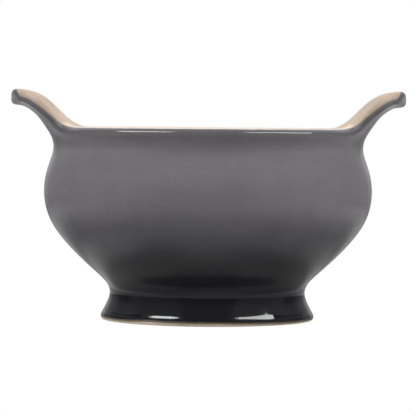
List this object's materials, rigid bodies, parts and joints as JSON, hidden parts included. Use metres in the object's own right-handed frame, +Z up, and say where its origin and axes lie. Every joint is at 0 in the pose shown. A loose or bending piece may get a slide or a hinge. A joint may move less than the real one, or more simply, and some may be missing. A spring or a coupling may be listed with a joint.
{
  "type": "soup bowl",
  "caption": "Footed stoneware soup bowl with a round belly, a drawn-in neck, swept-up ear handles and a flared foot ring, glazed grey to black outside and sand inside.",
  "frame": {"origin": "centre of the foot ring's flat resting face, on the bowl's axis", "axes": "+Z up along the bowl's axis, +X through the right ear handle, front towards -Y"},
  "size_m": [0.1694, 0.1412, 0.0986],
  "materials": {
    "stoneware": "bare fired clay with fine grain",
    "luting_slip": "fired slip, hidden in the joints",
    "grey_glaze": "gloss glaze, grey at the rim running to black at the foot",
    "sand_glaze": "satin sand glaze with faint mottling",
    "black_glaze": "gloss black glaze"
  },
  "bodies": {
    "root": {"bowl_wall": "stoneware", "foot_ring": "stoneware", "left_handle": "stoneware", "right_handle": "stoneware", "left_handle_luting": "luting_slip", "right_handle_luting": "luting_slip", "foot_luting": "luting_slip", "outer_glaze": "grey_glaze", "inner_glaze": "sand_glaze", "underside_glaze": "black_glaze"}
  },
  "joints": []
}
